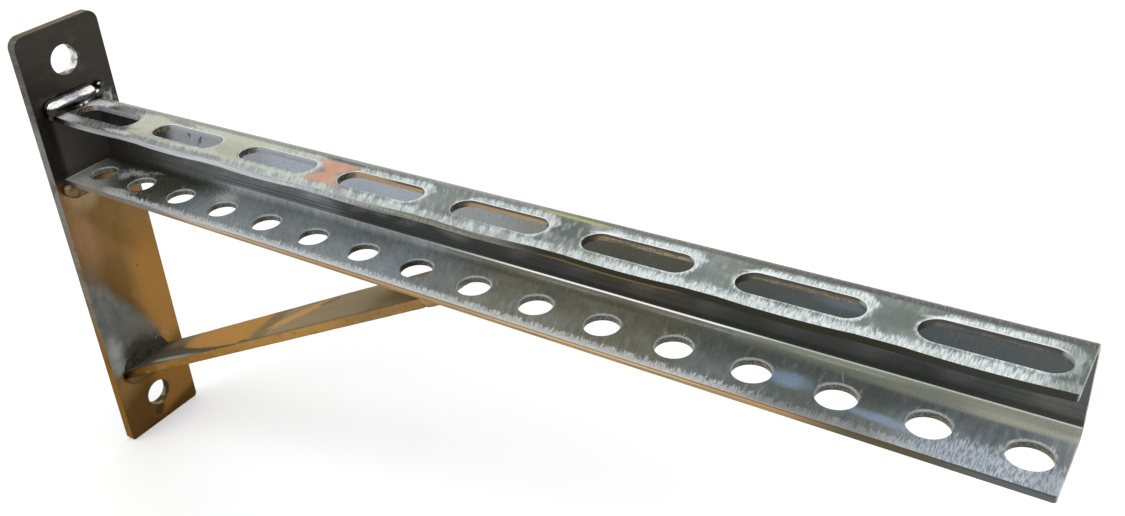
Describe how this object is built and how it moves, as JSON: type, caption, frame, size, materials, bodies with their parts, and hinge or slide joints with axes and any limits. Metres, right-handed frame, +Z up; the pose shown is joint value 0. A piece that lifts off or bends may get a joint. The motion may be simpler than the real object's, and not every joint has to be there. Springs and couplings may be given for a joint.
{
  "type": "wall bracket",
  "caption": "Cantilever wall bracket: folded channel arm with slots above and round holes below, welded to an upright bolt-on plate and propped by a sloping flat bar.",
  "frame": {"origin": "on the wall, at the back plate's rear face, midway between its two bolt holes", "axes": "+X out from the wall along the arm, +Y sideways to the channel's closed back, +Z up"},
  "size_m": [0.401, 0.0426, 0.21],
  "materials": {
    "galvanised_bar": "hot-dip galvanised flat bar, smooth and glossy with slow waves in the zinc",
    "galvanised_sheet": "hot-dip galvanised folded sheet, glossy with streaks along its length",
    "galvanised_weld": "weld metal under zinc, lumpy and glossy"
  },
  "bodies": {
    "root": {"back_plate": "galvanised_bar", "arm": "galvanised_sheet", "brace": "galvanised_bar", "arm_top_weld": "galvanised_weld", "arm_under_weld": "galvanised_weld", "brace_foot_weld": "galvanised_weld", "brace_plug_weld": "galvanised_weld", "brace_head_weld": "galvanised_weld"}
  },
  "joints": []
}
